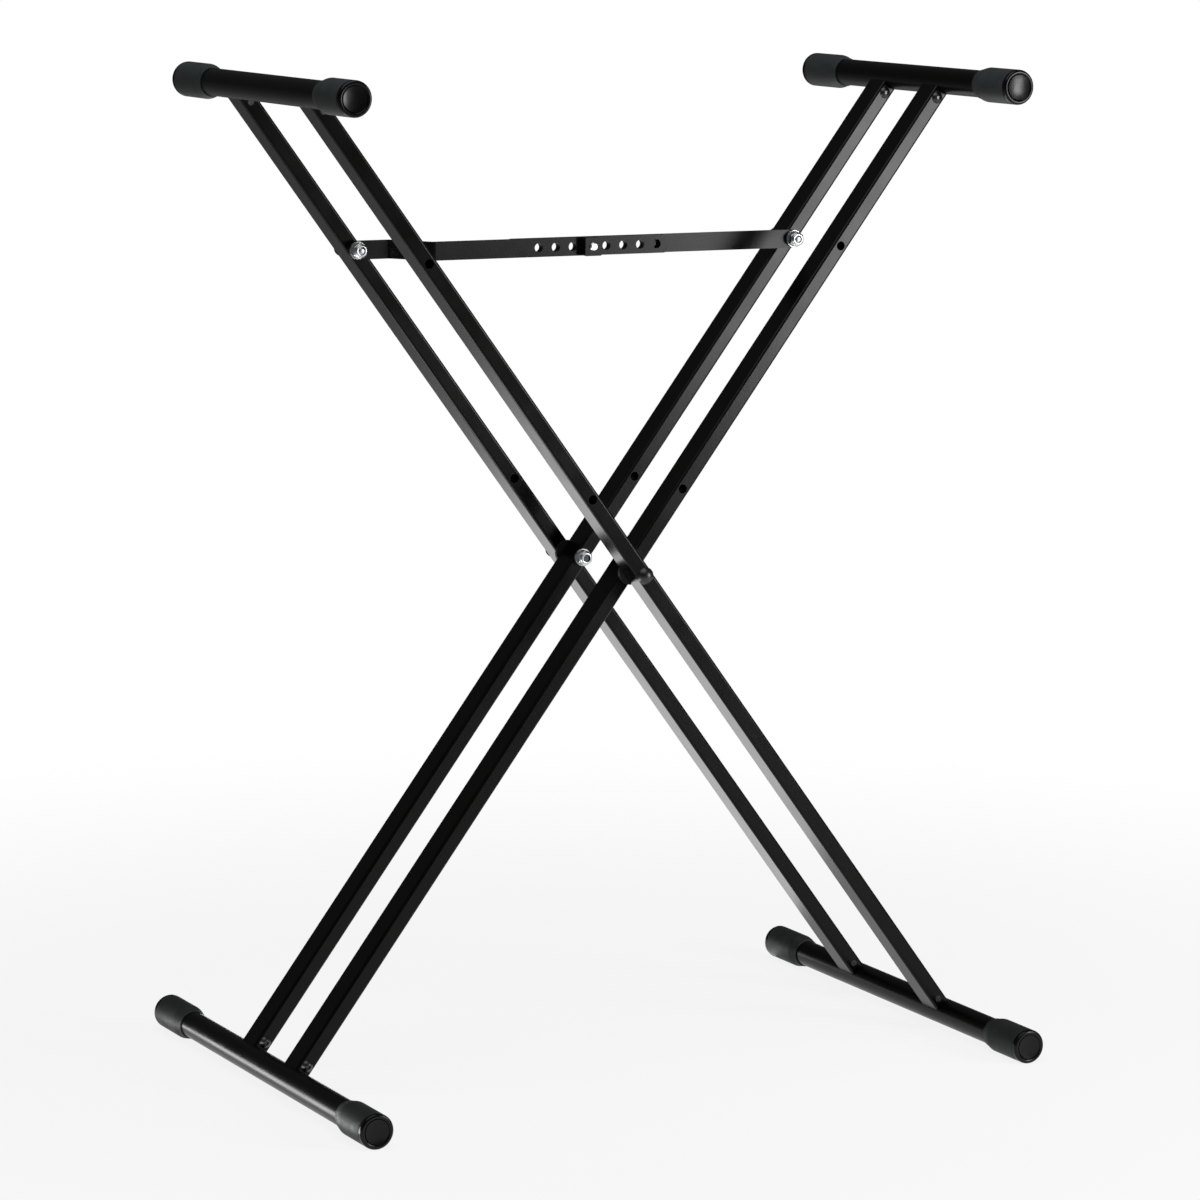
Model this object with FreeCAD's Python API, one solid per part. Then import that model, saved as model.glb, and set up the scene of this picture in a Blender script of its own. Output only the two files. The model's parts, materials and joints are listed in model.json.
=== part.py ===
"""Folding X-frame keyboard stand.

Two pairs of rectangular tube legs cross at one pivot. The outer pair carries the left
support bar and the right foot bar, and the inner pair carries the other two bars.
Two flat struts with rows of holes tie the rear legs together near the top.
Units are millimetres, Z is up and the stand faces -Y. One STEP file is written per piece.
"""
import math
import os

import FreeCAD
import Part

Vector = FreeCAD.Vector

# Legs: rectangular steel tube, crossing at the pivot
leg_width = 15.0
leg_depth = 28.0
leg_wall = 1.2
leg_corner = 2.5
leg_slope = 53.1
leg_reach = 1108.0
pivot_share = 0.4982
inner_leg_place = 47.0
leg_gap = 4.0

# Bars: round tube with a soft cap and a hard end plug on each end
bar_diameter = 25.0
bar_wall = 1.5
support_length = 368.0
foot_length = 472.0
cap_diameter = 32.0
cap_length = 60.0
cap_taper = 12.0
cap_lip = 1.2
plug_flange = 5.0
plug_rim = 3.0
plug_ring = 4.5
plug_recess = 1.5
plug_stem = 14.0
plug_fit = 0.1

# Spigots welded to the bars, held in the leg ends by cross screws
spigot_length = 42.0
spigot_fit = 0.1
screw_diameter = 6.0
screw_head_diameter = 11.0
screw_head_height = 3.6
screw_socket = 4.0
screw_place = 19.0

# Pivot bolts, strut bolts and their nuts
bolt_diameter = 8.0
bolt_head_diameter = 16.0
bolt_head_height = 5.0
nut_across = 13.0
nut_height = 8.0
nut_collar_share = 0.25
nut_bolt_recess = 1.5
washer_diameter = 16.0
washer_thickness = 1.6
spacer_diameter = 24.0
strut_spacer_diameter = 14.0
sleeve_diameter = 10.0
sleeve_length = 14.0
sleeve_flange_diameter = 11.4
sleeve_flange_height = 1.2

# Holes along the legs, measured from the pivot
strut_hole_place = 364.0
spare_hole_place = 91.25
spare_hole_diameter = 8.5

# Struts: two flat bars whose rows of holes share one pitch
strut_height = 17.0
strut_thickness = 4.0
strut_pitch = 17.5
strut_hole_diameter = 8.4
strut_corner = 3.0
shared_holes = 7
strut_free_end = 10.5
crank_start = 33.0
crank_run = 26.0
crank_radius = 3.0

# Lock on the left strut
lock_boss_width = 17.0
lock_boss_height = 8.0
lock_boss_bevel = 1.0
lock_screw_proud = 10.0
lock_screw_chamfer = 0.8

# Fits
moving_gap = 0.3
running_fit = 0.05
thread_fit = 0.05
overrun = 2.0

# Places that follow from the dimensions above
lean = 90.0 - leg_slope
slope = math.radians(leg_slope)
upper_arm = leg_reach * pivot_share
lower_arm = leg_reach - upper_arm
pivot_height = lower_arm * math.sin(slope) + cap_diameter / 2
outer_leg_place = inner_leg_place + leg_depth + leg_gap
bar_radius = bar_diameter / 2
running_radius = bolt_diameter / 2 + running_fit
thread_radius = bolt_diameter / 2 + thread_fit
strut_x = strut_hole_place * math.cos(slope)
strut_z = pivot_height + strut_hole_place * math.sin(slope)
strut_overlap = (shared_holes + 1) / 2 * strut_pitch + strut_free_end
outer_face = outer_leg_place + leg_depth / 2
outer_inside = outer_leg_place - leg_depth / 2
inner_back = inner_leg_place + leg_depth / 2
inner_face = inner_leg_place - leg_depth / 2
right_back = inner_face - washer_thickness - moving_gap
right_front = right_back - strut_thickness
left_back = right_front - moving_gap
left_front = left_back - strut_thickness
left_end_back = outer_inside - washer_thickness - moving_gap
left_end_front = left_end_back - strut_thickness

FRONT = -1
REAR = 1


def rod(radius, start, end, x=0, z=0):
    """Cylinder along Y between two places."""
    low = min(start, end)
    high = max(start, end)
    return Part.makeCylinder(radius, high - low, Vector(x, low, z), Vector(0, 1, 0))


def ring(outer_radius, bore_radius, start, end, x=0, z=0):
    """Washer, spacer or tube along Y."""
    low = min(start, end) - overrun
    high = max(start, end) + overrun
    return rod(outer_radius, start, end, x, z).cut(rod(bore_radius, low, high, x, z))


def hexagon(across, start, end, x=0, z=0):
    """Six-sided prism along Y, with one flat at the top."""
    corner = across / 2 / math.cos(math.pi / 6)
    points = []
    for step in range(7):
        turn = step * math.pi / 3
        points.append(Vector(x + corner * math.cos(turn), min(start, end), z + corner * math.sin(turn)))
    face = Part.Face(Part.makePolygon(points))
    return face.extrude(Vector(0, abs(end - start), 0))


def dome(radius, height, face, side, x=0, z=0):
    """Low round head that stands on a face square to Y and bulges towards its side."""
    ball = (radius * radius + height * height) / (2 * height)
    centre = face + side * (height - ball)
    half_turn = math.asin(radius / ball) / 2
    between = Vector(x + ball * math.sin(half_turn), centre + side * ball * math.cos(half_turn), z)
    foot = Vector(x, face, z)
    edge = Vector(x + radius, face, z)
    top = Vector(x, face + side * height, z)
    outline = [Part.makeLine(foot, edge), Part.Arc(edge, between, top).toShape(), Part.makeLine(top, foot)]
    return Part.Face(Part.Wire(outline)).revolve(foot, Vector(0, 1, 0), 360)


def edges_along(shape, direction):
    """Straight edges of a shape that run along one direction."""
    found = []
    for edge in shape.Edges:
        run = edge.Vertexes[-1].Point - edge.Vertexes[0].Point
        if run.Length > 0 and run.normalize().cross(direction).Length < running_fit:
            found.append(edge)
    return found


def block(width, depth, low, high, x, y, corner):
    """Upright bar of rectangular section with rounded long edges."""
    base = Vector(x - width / 2, y - depth / 2, low)
    shape = Part.makeBox(width, depth, high - low, base)
    return shape.makeFillet(corner, edges_along(shape, Vector(0, 0, 1)))


def stand_up(shape, side):
    """Lean a piece drawn on an upright leg and lift it onto the pivot."""
    shape.rotate(Vector(0, 0, 0), Vector(0, 1, 0), side * lean)
    shape.translate(Vector(0, 0, pivot_height))
    return shape


def bar_solid(z):
    """Full round bar across the stand, used to shape what meets it."""
    return rod(bar_radius, -foot_length, foot_length, 0, z)


def screw_heights():
    """Places of the cross screws along a leg, top then bottom."""
    return (upper_arm - screw_place, screw_place - lower_arm)


def make_leg(place):
    """One leg: a tube with saddle ends, a pivot hole, two upper holes and two screw holes.

    The rear legs carry the strut bolts, so their upper hole fits the bolt closely.
    The inner front leg's back wall is opened for the sleeve nut of the front pivot.
    """
    low = -lower_arm
    tube = block(leg_width, leg_depth, low, upper_arm, 0, place, leg_corner)
    hollow_width = leg_width - 2 * leg_wall
    hollow_depth = leg_depth - 2 * leg_wall
    inner_corner = leg_corner - leg_wall
    hollow = block(hollow_width, hollow_depth, low - overrun, upper_arm + overrun, 0, place, inner_corner)
    tube = tube.cut(hollow)
    start = place - leg_depth / 2 - overrun
    end = place + leg_depth / 2 + overrun
    tools = [bar_solid(upper_arm), bar_solid(low), rod(running_radius, start, end)]
    strut_hole_radius = thread_radius if place > 0 else spare_hole_diameter / 2
    tools.append(rod(strut_hole_radius, start, end, 0, strut_hole_place))
    tools.append(rod(spare_hole_diameter / 2, start, end, 0, spare_hole_place))
    if place == -inner_leg_place:
        tools.append(rod(sleeve_diameter / 2 + running_fit, place, end))
    for height in screw_heights():
        tools.append(rod(screw_diameter / 2 + thread_fit, start, end, 0, height))
    return tube.cut(tools)


def make_bar(length, height):
    """Round tube that runs between its two end plugs."""
    reach = length / 2 - plug_flange
    return ring(bar_radius, bar_radius - bar_wall, -reach, reach, 0, height)


def make_cap(length, height, side):
    """Soft cap: a tapered mouth and a plain sleeve over the end of a bar."""
    end = side * (length / 2 - plug_flange)
    mouth = side * (length / 2 - cap_length)
    shoulder = mouth + side * cap_taper
    radius = cap_diameter / 2
    axis = Vector(0, side, 0)
    cone = Part.makeCone(bar_radius + cap_lip, radius, cap_taper, Vector(0, mouth, height), axis)
    body = cone.fuse(rod(radius, shoulder, end, 0, height)).removeSplitter()
    bore = rod(bar_radius + thread_fit, mouth - side * overrun, end + side * overrun, 0, height)
    return body.cut(bore)


def make_plug(length, height, side):
    """End plug: a flange with a rounded rim and a sunk middle, on a stem inside the tube."""
    end = side * length / 2
    seat = end - side * plug_flange
    radius = cap_diameter / 2
    flange = rod(radius, seat, end, 0, height)
    rim = []
    for edge in flange.Edges:
        box = edge.BoundBox
        if box.YLength < running_fit and abs(box.YMin - end) < running_fit:
            rim.append(edge)
    flange = flange.makeFillet(plug_rim, rim)
    flange = flange.cut(rod(radius - plug_ring, end - side * plug_recess, end + side * overrun, 0, height))
    stem = rod(bar_radius - bar_wall - plug_fit, seat - side * plug_stem, seat, 0, height)
    return flange.fuse(stem).removeSplitter()


def make_spigot(place, height, towards):
    """Plug welded to a bar that fills the end of one leg."""
    width = leg_width - 2 * (leg_wall + spigot_fit)
    depth = leg_depth - 2 * (leg_wall + spigot_fit)
    tip = height - towards * spigot_length
    corner = leg_corner - leg_wall
    plug = block(width, depth, min(tip, height), max(tip, height), 0, place, corner)
    hole_height = height - towards * screw_place
    hole = rod(screw_diameter / 2 + thread_fit, place - leg_depth, place + leg_depth, 0, hole_height)
    return plug.cut([bar_solid(height), hole])


def make_screw(place, height, side):
    """Cross screw with a low round head and a six-sided socket, through one leg end."""
    face = place + side * leg_depth / 2
    far = place - side * leg_depth / 2
    shank = rod(screw_diameter / 2, far, face, 0, height)
    head = dome(screw_head_diameter / 2, screw_head_height, face, side, 0, height)
    top = face + side * screw_head_height
    socket = hexagon(screw_socket, top - side * screw_head_height / 2, top + side * overrun, 0, height)
    return shank.fuse(head).removeSplitter().cut(socket)


def make_bolt(face, end, side, x=0, z=0):
    """Bolt whose round head lies on a face, with its shank running back to its end."""
    head = dome(bolt_head_diameter / 2, bolt_head_height, face, side, x, z)
    return rod(bolt_diameter / 2, end, face, x, z).fuse(head).removeSplitter()


def make_nut(start, side, x=0, z=0):
    """Lock nut: a six-sided body, then a round collar at its free end."""
    collar = nut_height * nut_collar_share
    waist = start - side * (nut_height - collar)
    end = start - side * nut_height
    body = hexagon(nut_across, start, waist, x, z).fuse(rod(nut_across / 2, waist, end, x, z))
    hole = rod(thread_radius, start + side * overrun, end - side * overrun, x, z)
    return body.removeSplitter().cut(hole)


def make_sleeve_nut(face, side, x=0, z=0):
    """Sleeve nut: a thin flange on a face, and a threaded sleeve that runs back into the leg."""
    flange = rod(sleeve_flange_diameter / 2, face, face - side * sleeve_flange_height, x, z)
    sleeve = rod(sleeve_diameter / 2, face, face + side * sleeve_length, x, z)
    hole = rod(thread_radius, face - side * foot_length, face + side * foot_length, x, z)
    return flange.fuse(sleeve).removeSplitter().cut(hole)


def hole_row(towards):
    """Places of one strut's holes: the shared row, and one more towards the strut's free end."""
    middle = (shared_holes - 1) / 2
    return [towards * (index - middle) * strut_pitch for index in range(shared_holes + 1)]


def strut_outline(start, end):
    """Flat bar seen from the front: full height, as long as the strut."""
    base = Vector(start, -foot_length, strut_z - strut_height / 2)
    return Part.makeBox(end - start, 2 * foot_length, strut_height, base)


def make_left_strut():
    """Left strut: bolted on the rear outer leg, then cranked forward past the right strut."""
    end = strut_overlap
    back = (left_end_back + left_end_front) / 2
    front = (left_back + left_front) / 2
    path = [(-strut_x - strut_height, back), (crank_start - strut_x, back)]
    path += [(crank_start + crank_run - strut_x, front), (end, front)]
    run = Vector(crank_run, front - back, 0)
    half = math.atan2(front - back, crank_run) / 2
    reach = strut_thickness / 2
    skew = reach * math.tan(half)
    one_side = []
    other_side = []
    for index, (x, y) in enumerate(path):
        shift = 0
        if index in (1, 2):
            shift = skew
        one_side.append(Vector(x - shift, y + reach, strut_z - strut_height / 2))
        other_side.append(Vector(x + shift, y - reach, strut_z - strut_height / 2))
    outline = one_side + other_side[::-1]
    face = Part.Face(Part.makePolygon(outline + outline[:1]))
    strut = face.extrude(Vector(0, 0, strut_height))
    inner_bends = (other_side[1], one_side[2])
    outer_bends = (one_side[1], other_side[2])
    for bends, radius in ((inner_bends, crank_radius), (outer_bends, crank_radius + strut_thickness)):
        chosen = []
        for edge in edges_along(strut, Vector(0, 0, 1)):
            for bend in bends:
                if math.hypot(edge.CenterOfMass.x - bend.x, edge.CenterOfMass.y - bend.y) < running_fit:
                    chosen.append(edge)
        strut = strut.makeFillet(radius, chosen)
    outline = rod(strut_height / 2, -foot_length, foot_length, -strut_x, strut_z)
    outline = outline.fuse(strut_outline(-strut_x, end))
    strut = strut.common(outline)
    strut = round_free_end(strut, end)
    tools = [rod(running_radius, -foot_length, foot_length, -strut_x, strut_z)]
    for x in hole_row(1):
        radius = strut_hole_diameter / 2 if x else running_radius
        tools.append(rod(radius, -foot_length, foot_length, x, strut_z))
    return strut.cut(tools)


def round_free_end(strut, end):
    """Round the two corners at a strut's free end."""
    corners = []
    for edge in edges_along(strut, Vector(0, 1, 0)):
        if abs(edge.CenterOfMass.x - end) < running_fit:
            corners.append(edge)
    return strut.makeFillet(strut_corner, corners)


def make_right_strut():
    """Right strut: a flat bar behind the left one, bolted on the rear inner leg."""
    base = Vector(-strut_overlap, right_front, strut_z - strut_height / 2)
    strut = Part.makeBox(strut_x + strut_overlap, strut_thickness, strut_height, base)
    strut = strut.fuse(rod(strut_height / 2, right_front, right_back, strut_x, strut_z)).removeSplitter()
    strut = round_free_end(strut, -strut_overlap)
    start = right_front - overrun
    finish = right_back + overrun
    tools = [rod(running_radius, start, finish, strut_x, strut_z)]
    for x in hole_row(-1):
        tools.append(rod(strut_hole_diameter / 2, start, finish, x, strut_z))
    return strut.cut(tools)


def make_lock_boss():
    """Square block on the left strut, as tall as the strut and bored for the lock screw."""
    face = left_front - lock_boss_height
    base = Vector(-lock_boss_width / 2, face, strut_z - lock_boss_width / 2)
    block = Part.makeBox(lock_boss_width, lock_boss_height, lock_boss_width, base)
    block = block.makeChamfer(lock_boss_bevel, edges_along(block, Vector(0, 1, 0)))
    return block.cut(rod(running_radius, face - overrun, left_front + overrun, 0, strut_z))


def make_lock_screw():
    """Lock screw: a short stud with bevelled ends, drawn out of the right strut."""
    stud = rod(bolt_diameter / 2, left_front - lock_screw_proud, left_back - moving_gap, 0, strut_z)
    end_edges = [edge for edge in stud.Edges if edge.BoundBox.YLength < running_fit]
    return stud.makeChamfer(lock_screw_chamfer, end_edges)


pieces = {}

# Legs, bars, spigots, caps and cross screws, drawn upright and then leaned into place
frames = (
    ("outer", outer_leg_place, FRONT, "left", "right", REAR),
    ("inner", inner_leg_place, REAR, "right", "left", FRONT),
)
for frame, place, side, support_side, foot_side, head_side in frames:
    pieces["leg_" + frame + "_front"] = stand_up(make_leg(-place), side)
    pieces["leg_" + frame + "_rear"] = stand_up(make_leg(place), side)
    ends = (
        ("support", support_side, support_length, upper_arm, 1),
        ("foot", foot_side, foot_length, -lower_arm, -1),
    )
    for kind, where, length, height, towards in ends:
        name = kind + "_bar_" + where
        pieces[name] = stand_up(make_bar(length, height), side)
        screws = []
        plugs = []
        for end_side, end_name in ((FRONT, "front"), (REAR, "rear")):
            cap = make_cap(length, height, end_side)
            pieces[kind + "_cap_" + where + "_" + end_name] = stand_up(cap, side)
            plugs.append(stand_up(make_plug(length, height, end_side), side))
            spigot = make_spigot(end_side * place, height, towards)
            pieces[kind + "_spigot_" + where + "_" + end_name] = stand_up(spigot, side)
            screw = make_screw(end_side * place, height - towards * screw_place, head_side)
            screws.append(stand_up(screw, side))
        pieces[kind + "_screws_" + where] = Part.makeCompound(screws)
        pieces[kind + "_plugs_" + where] = Part.makeCompound(plugs)

# Pivot hardware: head on the outer leg, a low sleeve nut in front and a lock nut at the rear
spacer_start = inner_back + moving_gap
washer_start = inner_face - moving_gap
nut_start = washer_start - washer_thickness
lock_nut_end = nut_start - nut_height + nut_bolt_recess
for side, name, bolt_end in ((FRONT, "front", inner_face), (REAR, "rear", lock_nut_end)):
    bolt = make_bolt(side * outer_face, side * bolt_end, side, 0, pivot_height)
    pieces["pivot_bolt_" + name] = bolt
    pieces["pivot_spacer_" + name] = ring(
        spacer_diameter / 2, thread_radius, side * spacer_start, side * outer_inside, 0, pivot_height)
pieces["pivot_nut_front"] = make_sleeve_nut(FRONT * washer_start, FRONT, 0, pivot_height)
pieces["pivot_washer_rear"] = ring(
    washer_diameter / 2, thread_radius, REAR * nut_start, REAR * washer_start, 0, pivot_height)
pieces["pivot_nut_rear"] = make_nut(REAR * nut_start, REAR, 0, pivot_height)

# Struts, and the bolt, washers and nut that each one turns on
pieces["strut_left"] = make_left_strut()
pieces["strut_right"] = make_right_strut()
stacks = (
    ("left", -strut_x, outer_face, outer_inside, left_end_back, left_end_front, washer_diameter),
    ("right", strut_x, inner_back, inner_face, right_back, right_front, strut_spacer_diameter),
)
for name, x, head_face, leg_face, strut_back, strut_front, spacer in stacks:
    nut_start = strut_front - moving_gap - washer_thickness
    bolt_end = nut_start - nut_height + nut_bolt_recess
    pieces["strut_bolt_" + name] = make_bolt(head_face, bolt_end, REAR, x, strut_z)
    pieces["strut_spacer_" + name] = ring(
        spacer / 2, thread_radius, strut_back + moving_gap, leg_face, x, strut_z)
    pieces["strut_washer_" + name] = ring(
        washer_diameter / 2, thread_radius, nut_start, strut_front - moving_gap, x, strut_z)
    pieces["strut_nut_" + name] = make_nut(nut_start, REAR, x, strut_z)

# Lock and its boss on the left strut
pieces["lock_boss"] = make_lock_boss()
pieces["lock_screw"] = make_lock_screw()

os.makedirs("parts", exist_ok=True)
for name, shape in pieces.items():
    shape.exportStep("parts/" + name + ".step")
print(len(pieces), "pieces, pivot at", pivot_height, "strut bolts at", strut_x, strut_z)
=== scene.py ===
# %% [markdown]
# # A folding keyboard stand
# Four rectangular legs cross at a pivot. Round bars join them at the top, where the keyboard lies, and at
# the floor. A flat strut with a row of holes sets how far the legs open. The CAD model already holds every
# tube, cap and bolt at its real size, so this lesson keeps those shapes, gives each one the finish of the
# real material, and adds the small turned and threaded pieces that a plain solid leaves out.

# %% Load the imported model
import json

import bpy
import numpy as np
from mathutils import Matrix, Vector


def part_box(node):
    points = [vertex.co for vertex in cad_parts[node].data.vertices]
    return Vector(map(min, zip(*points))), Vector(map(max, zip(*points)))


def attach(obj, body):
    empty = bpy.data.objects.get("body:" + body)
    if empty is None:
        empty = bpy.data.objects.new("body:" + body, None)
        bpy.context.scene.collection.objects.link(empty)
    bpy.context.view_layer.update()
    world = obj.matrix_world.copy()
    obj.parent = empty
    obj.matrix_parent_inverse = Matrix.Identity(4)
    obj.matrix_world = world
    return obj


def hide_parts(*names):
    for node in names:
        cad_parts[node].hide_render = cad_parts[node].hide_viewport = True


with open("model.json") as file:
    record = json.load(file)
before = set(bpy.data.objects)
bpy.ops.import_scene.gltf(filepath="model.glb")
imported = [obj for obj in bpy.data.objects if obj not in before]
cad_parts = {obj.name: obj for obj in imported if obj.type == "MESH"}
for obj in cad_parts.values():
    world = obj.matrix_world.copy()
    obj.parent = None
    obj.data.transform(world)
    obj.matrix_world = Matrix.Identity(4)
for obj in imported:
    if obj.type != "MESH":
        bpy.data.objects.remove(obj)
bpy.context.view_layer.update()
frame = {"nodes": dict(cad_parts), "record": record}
nodes = frame["nodes"]
behaviour = frame["record"]["behaviour"]
scene = bpy.context.scene
print("nodes in the frame:", len(nodes))

# %% [markdown]
# ## The camera
# A photograph can be matched by eye, or by solving for the camera that puts known points of the object on
# their pixels. The second way was used here: the ends of legs and bars, the pivot and the strut bolts fix
# the turn round the stand, the height, the small roll and the focal length. The camera needs no shift.


# %% Place the camera
def placed(right, up, back, place):
    """The 4 x 4 matrix of an object at place whose own x, y and z axes point right, up and back."""
    axes = np.eye(4)
    axes[:3] = np.column_stack([right, up, back, place])
    return Matrix(axes.tolist())


pivot_height = next(joint["pos_m"][2] for joint in behaviour["joints"] if joint["name"] == "fold")
turn, rise, roll = np.radians([-27.659, 9.176, 0.525])
distance, aim_across, aim_up = 4.2824, 0.00204, -0.03585
focal_in_pixels, photo_pixels, sensor_mm = 4615.0, 1200, 36.0

back = np.array([np.sin(turn) * np.cos(rise), -np.cos(turn) * np.cos(rise), np.sin(rise)])
level_right = np.array([np.cos(turn), np.sin(turn), 0.0])
level_up = np.cross(back, level_right)
right = np.cos(roll) * level_right + np.sin(roll) * level_up
up = np.cos(roll) * level_up - np.sin(roll) * level_right
place = np.array([aim_across, 0.0, aim_up + pivot_height]) + back * distance

stand_camera = bpy.data.cameras.new("photo_camera")
stand_camera.sensor_width = sensor_mm
stand_camera.lens = focal_in_pixels / photo_pixels * sensor_mm
camera = bpy.data.objects.new("photo_camera", stand_camera)
camera.matrix_world = placed(right, up, back, place)
scene.collection.objects.link(camera)
scene.camera = camera
scene.view_settings.view_transform = "Standard"
print("camera at", np.round(place, 3).tolist(), "lens", round(stand_camera.lens, 1), "mm")

# %% [markdown]
# ## Colour and nodes
# Colours are easiest to judge as the hex values a picture editor shows. Blender's shaders work in linear
# light, so one function converts them. A second function adds a node, sets it and links it in one line,
# which keeps the material cells short enough to read as a recipe.


# %% Helpers for materials
def linear(hex_colour):
    """Linear red, green, blue and alpha of an sRGB hex colour: each channel is divided by 255, then by
    12.92 below 0.04045, and above it raised to 2.4 after the offset of 0.055 is taken out."""
    channel = np.array([int(hex_colour[i : i + 2], 16) for i in (1, 3, 5)]) / 255
    light = np.where(channel < 0.04045, channel / 12.92, ((channel + 0.055) / 1.055) ** 2.4)
    return (*light.tolist(), 1.0)


def add(tree, kind, inputs=None, **settings):
    """Adds a node, gives it its settings, and fills each named input with a value or a link."""
    made = tree.nodes.new(kind)
    for setting, value in settings.items():
        setattr(made, setting, value)
    for socket, value in (inputs or {}).items():
        if isinstance(value, bpy.types.NodeSocket):
            tree.links.new(value, made.inputs[socket])
        else:
            made.inputs[socket].default_value = value
    return made


def start_material(name):
    """A new material, its empty node tree, and the object coordinates that its patterns are laid out in."""
    material = bpy.data.materials.new(name)
    material.use_nodes = True
    tree = material.node_tree
    tree.nodes.clear()
    return material, tree, add(tree, "ShaderNodeTexCoord").outputs["Object"]


print("mid grey #808080 in linear light:", round(linear("#808080")[0], 3))

# %% [markdown]
# ## Floor and studio light
# The stand was photographed on white, and its black paint mirrors the floor on every face that looks
# down. The floor is white to the camera and to reflections, and the share of plain matt paper near the
# feet keeps their shadow. A grey floor under strong lamps would do it too, but then the caps would be
# lit too brightly, so the white is written into the floor's own material. To reflections the floor is a
# painted pool of light: it glows white round the stand and fades farther out, because faces that mirror
# the distant floor are dark in the photograph.


# %% Floor
def sheet_mesh(name, half_width):
    """A square flat sheet at floor level: the corners are all pairs of plus and minus the half width."""
    across, along = np.meshgrid([-half_width, half_width], [-half_width, half_width])
    corners = np.stack([across.ravel(), along.ravel(), np.zeros(4)], axis=1)
    mesh = bpy.data.meshes.new(name)
    mesh.from_pydata(corners.tolist(), [], [(0, 1, 3, 2)])
    return mesh


def fade(tree, distance, start, end, near, far):
    """A share that runs smoothly from near to far while the distance runs from start to end, in metres."""
    limits = {"From Min": start, "From Max": end, "To Min": near, "To Max": far}
    shaped = add(tree, "ShaderNodeMapRange", {"Value": distance, **limits}, interpolation_type="SMOOTHSTEP")
    return shaped.outputs[0]


def sum_of(tree, operation, first, second):
    """One step of arithmetic on two values, such as MULTIPLY or MAXIMUM."""
    return add(tree, "ShaderNodeMath", {0: first, 1: second}, operation=operation).outputs[0]


floor = bpy.data.objects.new("studio_floor", sheet_mesh("studio_floor", half_width=150.0))
scene.collection.objects.link(floor)

paper, tree, spot = start_material("white_studio_paper")
away = add(tree, "ShaderNodeVectorMath", {0: spot}, operation="LENGTH").outputs["Value"]
white_share = fade(tree, away, start=0.45, end=1.6, near=0.86, far=1.0)
# Painted pool of light for reflections: the floor glows full white to glossy rays near the stand and fades to a
# twentieth beyond 1.6 m.
painted_light_pool_share = fade(tree, away, start=0.8, end=1.6, near=1.0, far=0.05)
ray = add(tree, "ShaderNodeLightPath").outputs
mirrored = sum_of(tree, "MAXIMUM", ray["Is Glossy Ray"], ray["Is Transmission Ray"])
seen = sum_of(tree, "MAXIMUM", ray["Is Camera Ray"], sum_of(tree, "MULTIPLY", mirrored, painted_light_pool_share))
share = sum_of(tree, "MULTIPLY", seen, white_share)
matt = add(tree, "ShaderNodeBsdfDiffuse", {"Color": linear("#f4f4f4")})
white = add(tree, "ShaderNodeEmission", {"Color": linear("#ffffff"), "Strength": 1.0})
mixed = add(tree, "ShaderNodeMixShader", {0: share, 1: matt.outputs[0], 2: white.outputs[0]})
add(tree, "ShaderNodeOutputMaterial", {"Surface": mixed.outputs[0]})
floor.data.materials.append(paper)
print("floor material:", paper.name)

# %% [markdown]
# The room round the floor is dim, because the sides of the legs that face away from the floor are almost
# black in the photograph. One wide lamp hangs above. A soft box at the front right stands where the
# front faces of the inner legs mirror it: their upper halves carry a grey sheen there and no other
# face does, which is how its place was found. Two lamps lie on the floor and only reflections see them.
# They stand for bright patches of the paper: the under faces of the outer legs mirror the one behind,
# and the lower half of the left foot bar mirrors the one at its side.

# %% World and lamps
world = bpy.data.worlds.new("studio_room")
scene.world = world
world.use_nodes = True
room = world.node_tree
room.nodes.clear()
wall = add(room, "ShaderNodeBackground", {"Color": linear("#b4b4b4"), "Strength": 0.14})
add(room, "ShaderNodeOutputWorld", {"Surface": wall.outputs[0]})


def soft_box(name, spot, target, width, height, watts):
    """A rectangular lamp at spot whose face looks at target: its z axis is the line from target to spot."""
    lamp = bpy.data.lights.new(name, "AREA")
    lamp.shape, lamp.size, lamp.size_y, lamp.energy = "RECTANGLE", width, height, watts
    holder = bpy.data.objects.new(name, lamp)
    away = np.array(spot, float) - np.array(target, float)
    away = away / np.linalg.norm(away)
    nearly_upright = abs(away[2]) > 0.9
    side = np.cross([0.0, 1.0, 0.0] if nearly_upright else [0.0, 0.0, 1.0], away)
    side = side / np.linalg.norm(side)
    holder.matrix_world = placed(side, np.cross(away, side), away, spot)
    scene.collection.objects.link(holder)
    return holder


def floor_lamp(name, across, along, width, height, watts):
    """A lamp that lies just above the floor and shines up, and that only reflections see."""
    lift, overhead = 0.004, 1.0
    holder = soft_box(name, (across, along, lift), (across, along, overhead), width, height, watts)
    holder.visible_camera, holder.visible_diffuse = False, False


soft_box("light_above", spot=(-0.6, -0.6, 3.0), target=(0.0, 0.0, 0.4), width=2.6, height=2.6, watts=34.0)
soft_box("light_front_right", spot=(1.38, -1.70, 0.72), target=(0.15, 0.0, 0.70),
         width=0.55, height=0.85, watts=25.0)
floor_lamp("light_on_floor_behind", across=0.13, along=0.66, width=0.84, height=0.88, watts=3.95)
floor_lamp("light_on_floor_left", across=-0.515, along=0.03, width=0.30, height=0.46, watts=3.6)

# %% [markdown]
# ## One recipe for every finish
# All the finishes here drift a little: noise in soft patches shifts the tone and the gloss together, as
# wear, haze and uneven coating do. A bump under it breaks the edges of reflections. A flat colour would
# look like paper, because the eye reads a coat from its highlights.


# %% Finish
def noise(tree, spot, size, detail):
    """Soft noise in patches of the given size in metres."""
    return add(tree, "ShaderNodeTexNoise", {"Vector": spot, "Scale": 1 / size, "Detail": detail}).outputs["Fac"]


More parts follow.
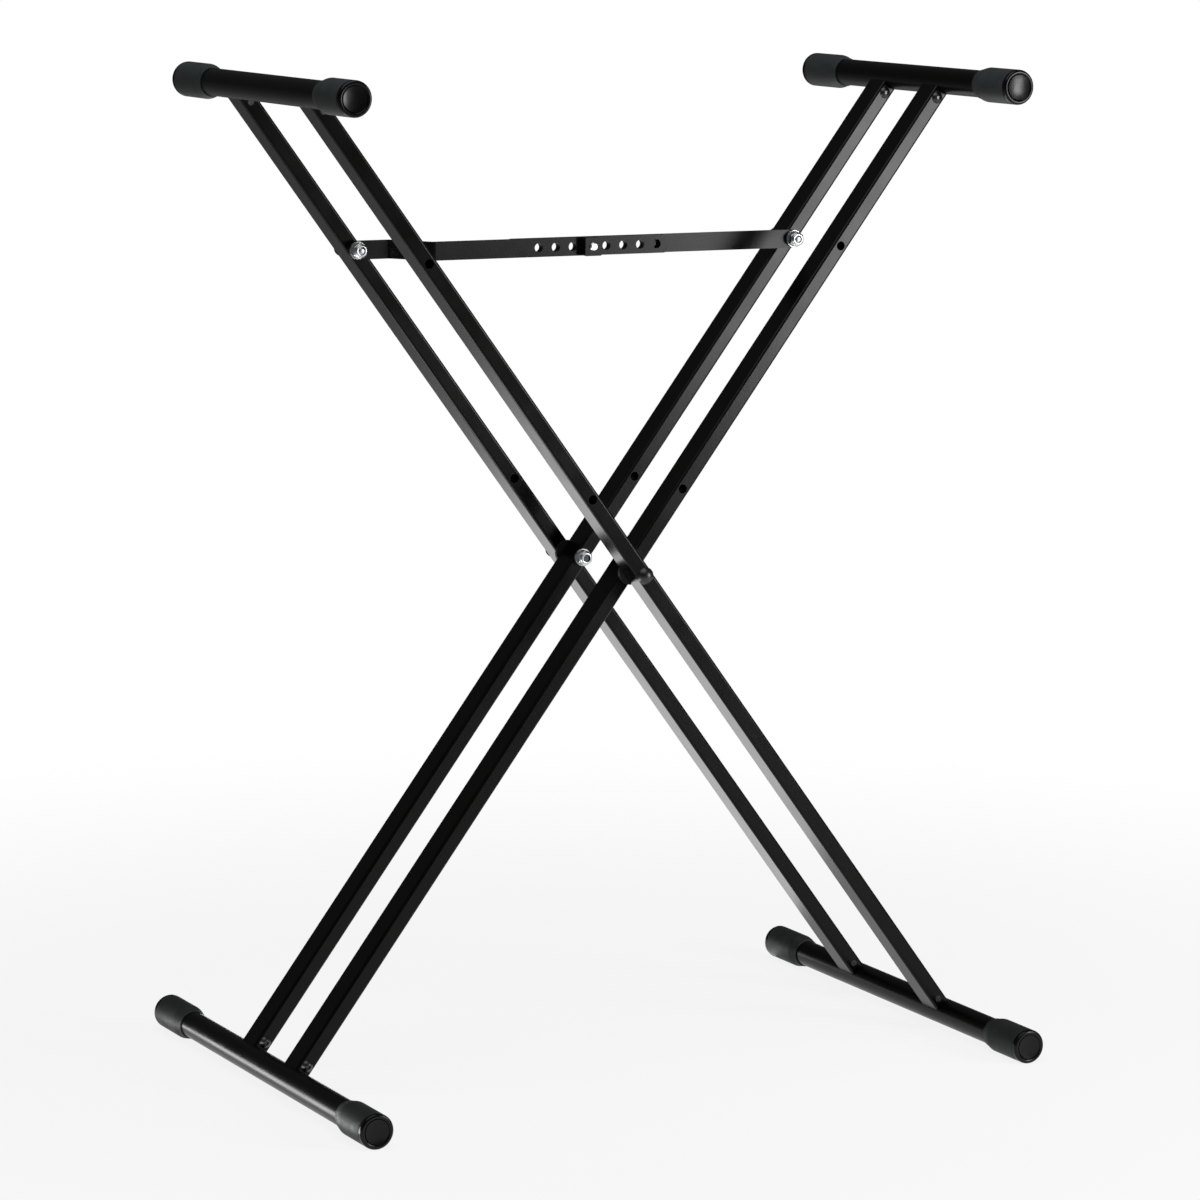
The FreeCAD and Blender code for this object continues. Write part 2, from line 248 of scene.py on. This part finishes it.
def finish(name, tones, gloss, patch, detail, grain=None, bump=0.0, **surface):
    """A material whose tone and roughness run between two values in noise patches of the given size in
    metres. The bump comes from grain of its own size or, without one, from the patches themselves."""
    noise_low, noise_high, grain_detail, bump_height = 0.3, 0.7, 2.0, 0.0004
    material, tree, spot = start_material(name)
    drift = noise(tree, spot, patch, detail)
    deep, pale = linear(tones[0]), linear(tones[1])
    tone = add(tree, "ShaderNodeMix", {0: drift, 6: deep, 7: pale}, data_type="RGBA").outputs[2]
    limits = {"From Min": noise_low, "From Max": noise_high, "To Min": gloss[0], "To Max": gloss[1]}
    rough = add(tree, "ShaderNodeMapRange", {"Value": drift, **limits}).outputs[0]
    inputs = {"Base Color": tone, "Roughness": rough, **surface}
    if bump:
        height = noise(tree, spot, grain, grain_detail) if grain else drift
        skin = add(tree, "ShaderNodeBump", {"Height": height, "Strength": bump, "Distance": bump_height})
        inputs["Normal"] = skin.outputs[0]
    shader = add(tree, "ShaderNodeBsdfPrincipled", inputs)
    add(tree, "ShaderNodeOutputMaterial", {"Surface": shader.outputs[0]})
    return material


print("recipe ready: tone, gloss and bump from one noise field")

# %% [markdown]
# ## Black powder coat
# The legs, bars and struts are steel tube and strip with a baked black powder coat. The powder melts to
# a half-gloss skin with a fine orange peel, so reflections are soft and a little broken. Patches are
# 45 mm wide. Real peel is about 1 mm wide, which is below a pixel here, so it is drawn at 2.5 mm.

# %% Powder coat
baked = {"patch": 0.045, "detail": 3.0, "grain": 0.0025, "bump": 0.04, "IOR": 1.25}
leg_coat = finish("black_powder_coat_on_leg_tube", ("#050504", "#0a0a09"), (0.2, 0.27), **baked)
bar_coat = finish("black_powder_coat_on_bar_tube", ("#050504", "#0a0a09"), (0.27, 0.34), **baked)
strut_coat = finish("black_powder_coat_on_strut_strip", ("#080808", "#0e0e0e"), (0.24, 0.32), **baked)
print("powder coats:", leg_coat.name, bar_coat.name, strut_coat.name)

# %% [markdown]
# ## Soft grey caps
# The sleeves on the bar ends are dipped or moulded soft PVC, slate grey at the top and darker at the
# floor. Such a skin is matt with a fine grain, and shows faint cloudy patches, here 12 mm wide, where
# fingers and dust have been. The grain of 1.6 mm is about twice the real one, so that it shows.

# %% Soft PVC
moulded = {"patch": 0.012, "detail": 4.0, "grain": 0.0016, "bump": 0.25, "IOR": 1.3}
support_pvc = finish("slate_soft_pvc_on_support_caps", ("#323736", "#454b4b"), (0.48, 0.62), **moulded)
foot_pvc = finish("dark_soft_pvc_on_foot_caps", ("#272c2b", "#353a39"), (0.49, 0.63), **moulded)
print("caps:", support_pvc.name, foot_pvc.name)

# %% [markdown]
# ## Glossy end plugs, black screws, nylon and zinc
# The plugs that close the caps are injection-moulded ABS with a bright moulded skin. Screws and bolts
# carry a black oxide under oil. The spacers are black nylon, and the nuts, washers and the lock stud are
# zinc plated, which is a bright metal with a faint cloudy haze.

# %% Plug, screw, nylon and zinc
slight = {"detail": 3.0, "bump": 0.06}
plug_abs = finish("moulded_gloss_abs_end_plug", ("#080808", "#0d0d0d"), (0.2, 0.28), 0.008, IOR=1.3, **slight)
screw_oxide = finish("oiled_black_oxide_screw", ("#0b0b0c", "#161617"), (0.3, 0.4), 0.003, IOR=1.6, **slight)
nylon = finish("turned_black_nylon_spacer", ("#101011", "#19191a"), (0.4, 0.5), 0.004, IOR=1.53, **slight)
zinc = finish("bright_zinc_plate_on_steel", ("#a9abad", "#cfd0d0"), (0.26, 0.42), 0.004,
              detail=4.0, Metallic=1.0)
print("small parts:", plug_abs.name, screw_oxide.name, nylon.name, zinc.name)

# %% Give every CAD node its finish
finish_of_slot = {
    "leg_paint": leg_coat, "bar_paint": bar_coat, "strut_paint": strut_coat, "support_cap": support_pvc,
    "foot_cap": foot_pvc, "cap_plug": plug_abs, "black_screw": screw_oxide, "zinc": zinc, "nylon": nylon,
}
for subpart in frame["record"]["subparts"]:
    mesh = nodes[subpart["node"]].data
    mesh.materials.clear()
    mesh.materials.append(finish_of_slot[subpart["material_slot"]])

# %% [markdown]
# ## Turned pieces
# Caps, plugs, nuts and studs all turn about a line parallel to Y, so one surface function makes them: a
# profile of radius and place along the axis is carried round it. Blender's Screw or Spin tools can do the
# same by hand. Working the points out as arrays keeps every size in millimetres and lets a radius change
# with the turn as well, which gives the six sides of a nut and the ridge of a thread.


# %% Surface of revolution
def turns(steps):
    """Equal steps once round the axis, in radians."""
    return np.linspace(0.0, 2.0 * np.pi, steps, endpoint=False)


def turned(radius, along, axis, poles):
    """Points, quads and end fans of a turned surface: x = radius * cos(turn), z = radius * sin(turn) and
    y = along, with one row for each place along the axis and one column for each turn. The radius is a
    grid in millimetres. With poles, the first and last rows close in a point; without them, the last row
    joins the first."""
    rows, steps = radius.shape
    turn = turns(steps)
    places = np.broadcast_to(np.asarray(along, float)[:, None], radius.shape)
    grid = np.stack([axis[0] + radius * np.cos(turn), places, axis[1] + radius * np.sin(turn)], axis=-1)
    points = grid.reshape(-1, 3)
    row, column = np.meshgrid(np.arange(rows - 1 if poles else rows), np.arange(steps), indexing="ij")
    below, beside = (row + 1) % rows, (column + 1) % steps
    corners = [row * steps + column, row * steps + beside, below * steps + beside, below * steps + column]
    quads = np.stack(corners, axis=-1).reshape(-1, 4)
    fans = np.zeros((0, 3), int)
    if poles:
        points = np.vstack([points, [[axis[0], along[0], axis[1]], [axis[0], along[-1], axis[1]]]])
        rim, other = np.arange(steps), (np.arange(steps) + 1) % steps
        first, last = np.full(steps, rows * steps), np.full(steps, rows * steps + 1)
        edge = (rows - 1) * steps
        fans = np.vstack([np.stack([other, rim, first], 1), np.stack([edge + rim, edge + other, last], 1)])
    triangles = np.vstack([quads[:, [0, 1, 2]], quads[:, [0, 2, 3]], fans])
    first, second, third = (points[triangles[:, corner]] for corner in range(3))
    inside_out = np.einsum("ij,ij->i", first, np.cross(second, third)).sum() < 0
    if inside_out:
        quads, fans = quads[:, ::-1], fans[:, ::-1]
    return points / 1000.0, quads, fans


def joined(one, other):
    """Two shapes as one: the other's corners are counted on from the first one's points."""
    count = len(one[0])
    quads = np.vstack([one[1], other[1] + count])
    fans = np.vstack([one[2], other[2] + count])
    return np.vstack([one[0], other[0]]), quads, fans


def rounded(radius, height, size, start, end, steps):
    """Rows of radius and height on a round edge of the given size. Start and end are turns in shares of pi."""
    turn = np.linspace(start * np.pi, end * np.pi, steps)
    return np.stack([radius + size * np.cos(turn), height + size * np.sin(turn)], 1)


def all_round(profile, steps):
    """The radius grid of a plain round shape: the profile's first column, the same at every turn."""
    return np.repeat(profile[:, :1], steps, axis=1)


def place_of(node):
    """The low and high corners of a node's box in millimetres, and the x and z of the axis through it."""
    low, high = np.array(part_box(node)) * 1000.0
    return low, high, ((low + high) / 2.0)[[0, 2]]


def add_piece(name, shape, finish, body, slot, *stands_for):
    """Puts a shape into the scene as a smooth piece with crisp corners, on its body and with its finish."""
    crisp_angle = np.radians(38.0)
    points, quads, fans = shape
    mesh = bpy.data.meshes.new(name)
    mesh.from_pydata(points.tolist(), [], quads.tolist() + fans.tolist())
    mesh.shade_smooth()
    mesh.set_sharp_from_angle(angle=crisp_angle)
    mesh.materials.append(finish)
    piece = bpy.data.objects.new(name, mesh)
    scene.collection.objects.link(piece)
    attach(piece, body)
    if stands_for:
        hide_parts(*stands_for)
    return piece


body_of = {node: body for body, group in behaviour["bodies"].items() for node in group}
print("bodies:", sorted(set(body_of.values())))

# %% [markdown]
# ## Soft caps
# A dipped cap has no sharp corner: its mouth is a rounded lip, it swells to full size over a soft
# shoulder and its far edge is rolled. The CAD cap has the same length and diameter with a straight cone,
# so the turned one stands for it and only softens the edges.


# %% Caps
def cap_profile():
    """Rows of radius and distance from the mouth in millimetres: a rounded lip, a shoulder that mixes a
    straight cone with half a cosine wave, a plain sleeve, a rolled edge, and the bore back to the mouth."""
    bore, lip, full, length = 12.55, 13.8, 16.0, 55.0
    lip_round, shoulder_start, shoulder_end, edge_round, cone_share = 0.6, 0.8, 12.0, 1.3, 0.45
    clear_of_shoulder, clear_of_edge, sleeve_count = 1.0, 0.5, 6
    lip_rows = rounded(lip - lip_round, lip_round, lip_round, -0.5, 0.0, 5)
    share = np.linspace(0.0, 1.0, 14)
    swell = cone_share * share + (1.0 - cone_share) * (0.5 - 0.5 * np.cos(np.pi * share))
    shoulder_place = shoulder_start + (shoulder_end - shoulder_start) * share
    shoulder_rows = np.stack([lip + (full - lip) * swell, shoulder_place], 1)
    sleeve_end = length - edge_round - clear_of_edge
    sleeve_place = np.linspace(shoulder_end + clear_of_shoulder, sleeve_end, sleeve_count)
    sleeve_rows = np.stack([np.full(sleeve_count, full), sleeve_place], 1)
    edge_rows = rounded(full - edge_round, length - edge_round, edge_round, 0.0, 0.5, 7)
    bore_rows = np.array([[bore, length], [bore, 0.0]])
    return np.vstack([lip_rows, shoulder_rows, sleeve_rows, edge_rows, bore_rows])


soft_cap, cap_steps = cap_profile(), 72
for node in sorted(n for n in nodes if "_cap_" in n):
    low, high, middle = place_of(node)
    towards, mouth = (-1.0, high[1]) if node.endswith("front") else (1.0, low[1])
    kind = "support_cap" if node.startswith("support") else "foot_cap"
    shape = turned(all_round(soft_cap, cap_steps), mouth + towards * soft_cap[:, 1], middle, poles=False)
    add_piece(node + "_sleeve", shape, finish_of_slot[kind], body_of[node], kind, node)
print("caps turned:", sum("_cap_" in n for n in nodes), "with", len(soft_cap), "rows each")

# %% [markdown]
# ## End plugs
# Each cap is closed by a glossy moulded plug. Its rim is round and its middle is dished, and the dish is
# what catches the small curved highlights in the photograph. A flat disc would flash all at once.

# %% Plugs
plug_flange, plug_steps = 5.0, 72


def plug_profile():
    """Rows of radius and height above the seat in millimetres: a dish that rises with the square of the
    radius, a round rim, the flange's side with a rounded foot, and the stem inside the tube."""
    dish, dish_drop, dish_start, rim, rim_inner_turn = 1.5, 0.4, 0.8, 2.4, 0.82
    full, side_top, foot_round, stem, stem_radius = 16.0, 1.2, 0.35, 14.0, 10.9
    dish_edge = full - 2.0 * rim
    dish_radius = np.linspace(dish_start, dish_edge, 10)
    dish_depth = dish_drop + (dish - dish_drop) * (1.0 - (dish_radius / dish_edge) ** 2)
    dish_rows = np.stack([dish_radius, plug_flange - dish_depth], 1)
    rim_rows = rounded(full - rim, plug_flange - rim, rim, rim_inner_turn, 0.0, 12)
    side_rows = np.array([[full, side_top], [full, foot_round], [full - foot_round, 0.0]])
    stem_rows = np.array([[stem_radius, 0.0], [stem_radius, -stem]])
    return np.vstack([dish_rows, rim_rows, side_rows, stem_rows])


moulded_plug = plug_profile()
plug_radius, plug_out = all_round(moulded_plug, plug_steps), moulded_plug[:, 1] - plug_flange
for node in sorted(n for n in nodes if "_plugs_" in n):
    low, high, middle = place_of(node)
    front = turned(plug_radius, low[1] - plug_out, middle, poles=True)
    rear = turned(plug_radius, high[1] + plug_out, middle, poles=True)
    add_piece(node + "_dished", joined(front, rear), plug_abs, body_of[node], "cap_plug", node)
print("plugs turned, rows each:", len(moulded_plug))

# %% [markdown]
# ## Lock nuts
# A lock nut is a six-sided bar turned to a bevel at both ends, with a round collar that grips a nylon
# ring. The bevel cuts the six sides in curved lines. The surface does the same sum: at each height the
# radius is the smaller of the turned profile and the distance to the flat side.

# %% Nuts, nylon ring and bolt tips
across_flats, nut_steps, tip_steps = 13.0, 96, 48


def nut_profile():
    """Rows of radius and height above the washer in millimetres, for a nut 8 mm high: the six-sided part
    with a bevel at each end, then the rolled collar."""
    bore, collar_radius, collar_height, collar_round, collar_turn, collar_end = 4.05, 4.3, 6.2, 1.8, 0.62, 7.2
    hexed = [[bore, 0.0], [6.2, 0.0], [6.7, 0.2], [7.2, 0.5], [7.6, 0.8], [7.6, 2.2], [7.6, 3.6], [7.6, 4.6],
             [7.2, 5.0], [6.8, 5.35], [6.4, 5.6], [6.15, 5.75]]
    collar = rounded(collar_radius, collar_height, collar_round, 0.0, collar_turn, 9)
    return np.vstack([hexed, collar, [[bore, collar_end]]])


def ring_profile():
    """Rows round the section of the nylon ring in the collar, an ellipse of radius and height."""
    ring_radius, ring_height, half_wide, half_high = 4.0, 7.35, 0.55, 0.5
    turn = turns(12)
    return np.stack([ring_radius + half_wide * np.cos(turn), ring_height + half_high * np.sin(turn)], 1)


lock_nut, nylon_ring = nut_profile(), ring_profile()
# The domed end of a strut bolt, as radius and height, stands half a millimetre out of its nut.
bolt_tip = np.array([[0.8, 8.5], [2.0, 8.35], [3.0, 7.95], [3.7, 7.3], [3.95, 6.6], [3.95, 5.4]])
sixth = np.pi / 3.0
flat_distance = across_flats / 2.0 / np.cos((turns(nut_steps) + sixth / 2.0) % sixth - sixth / 2.0)
nut_radius = np.minimum(all_round(lock_nut, nut_steps), flat_distance)
nut_nodes = ("pivot_nut_rear", "strut_nut_left", "strut_nut_right")
for node in nut_nodes:
    low, high, middle = place_of(node)
    shape = turned(nut_radius, high[1] - lock_nut[:, 1], middle, poles=False)
    add_piece(node + "_hexed", shape, zinc, body_of[node], "zinc", node)
    if node.startswith("strut"):
        shape = turned(all_round(bolt_tip, tip_steps), high[1] - bolt_tip[:, 1], middle, poles=True)
        add_piece(node.replace("nut", "bolt_tip"), shape, zinc, body_of[node], "zinc")
    else:
        shape = turned(all_round(nylon_ring, tip_steps), high[1] - nylon_ring[:, 1], middle, poles=False)
        add_piece(node.replace("nut", "nut_nylon"), shape, nylon, body_of[node], "nylon")
print("nuts turned:", len(nut_nodes), "with", nut_radius.size, "points each")

# %% [markdown]
# ## Lock stud
# The stud in the lock's block is a screw, drawn out of the right strut as it is when the stand is being
# set. Its thread is a ridge that climbs 1.25 mm for each turn, so the radius falls and rises with the
# height less the turn, and it runs out to nothing at both bevelled ends.

# %% Threaded stud
low, high, middle = place_of("lock_screw")
length = high[1] - low[1]
pitch, depth, crest, end_radius, bevel_length, stud_rows, stud_steps = 1.25, 0.55, 4.0, 3.0, 1.1, 200, 48
height = np.linspace(0.0, length, stud_rows)
wave = np.abs(((height[:, None] / pitch - turns(stud_steps) / (2.0 * np.pi)) % 1.0) * 2.0 - 1.0)
bevel = np.clip(np.minimum(height, length - height) / bevel_length, 0.0, 1.0)[:, None]
stud_radius = np.minimum(crest - depth * wave, end_radius + (crest - end_radius) * bevel)
shape = turned(stud_radius, low[1] + height, middle, poles=True)
add_piece("lock_screw_threaded", shape, zinc, "lock", "zinc", "lock_screw")
print("thread turns on the stud:", round(length / pitch, 1))
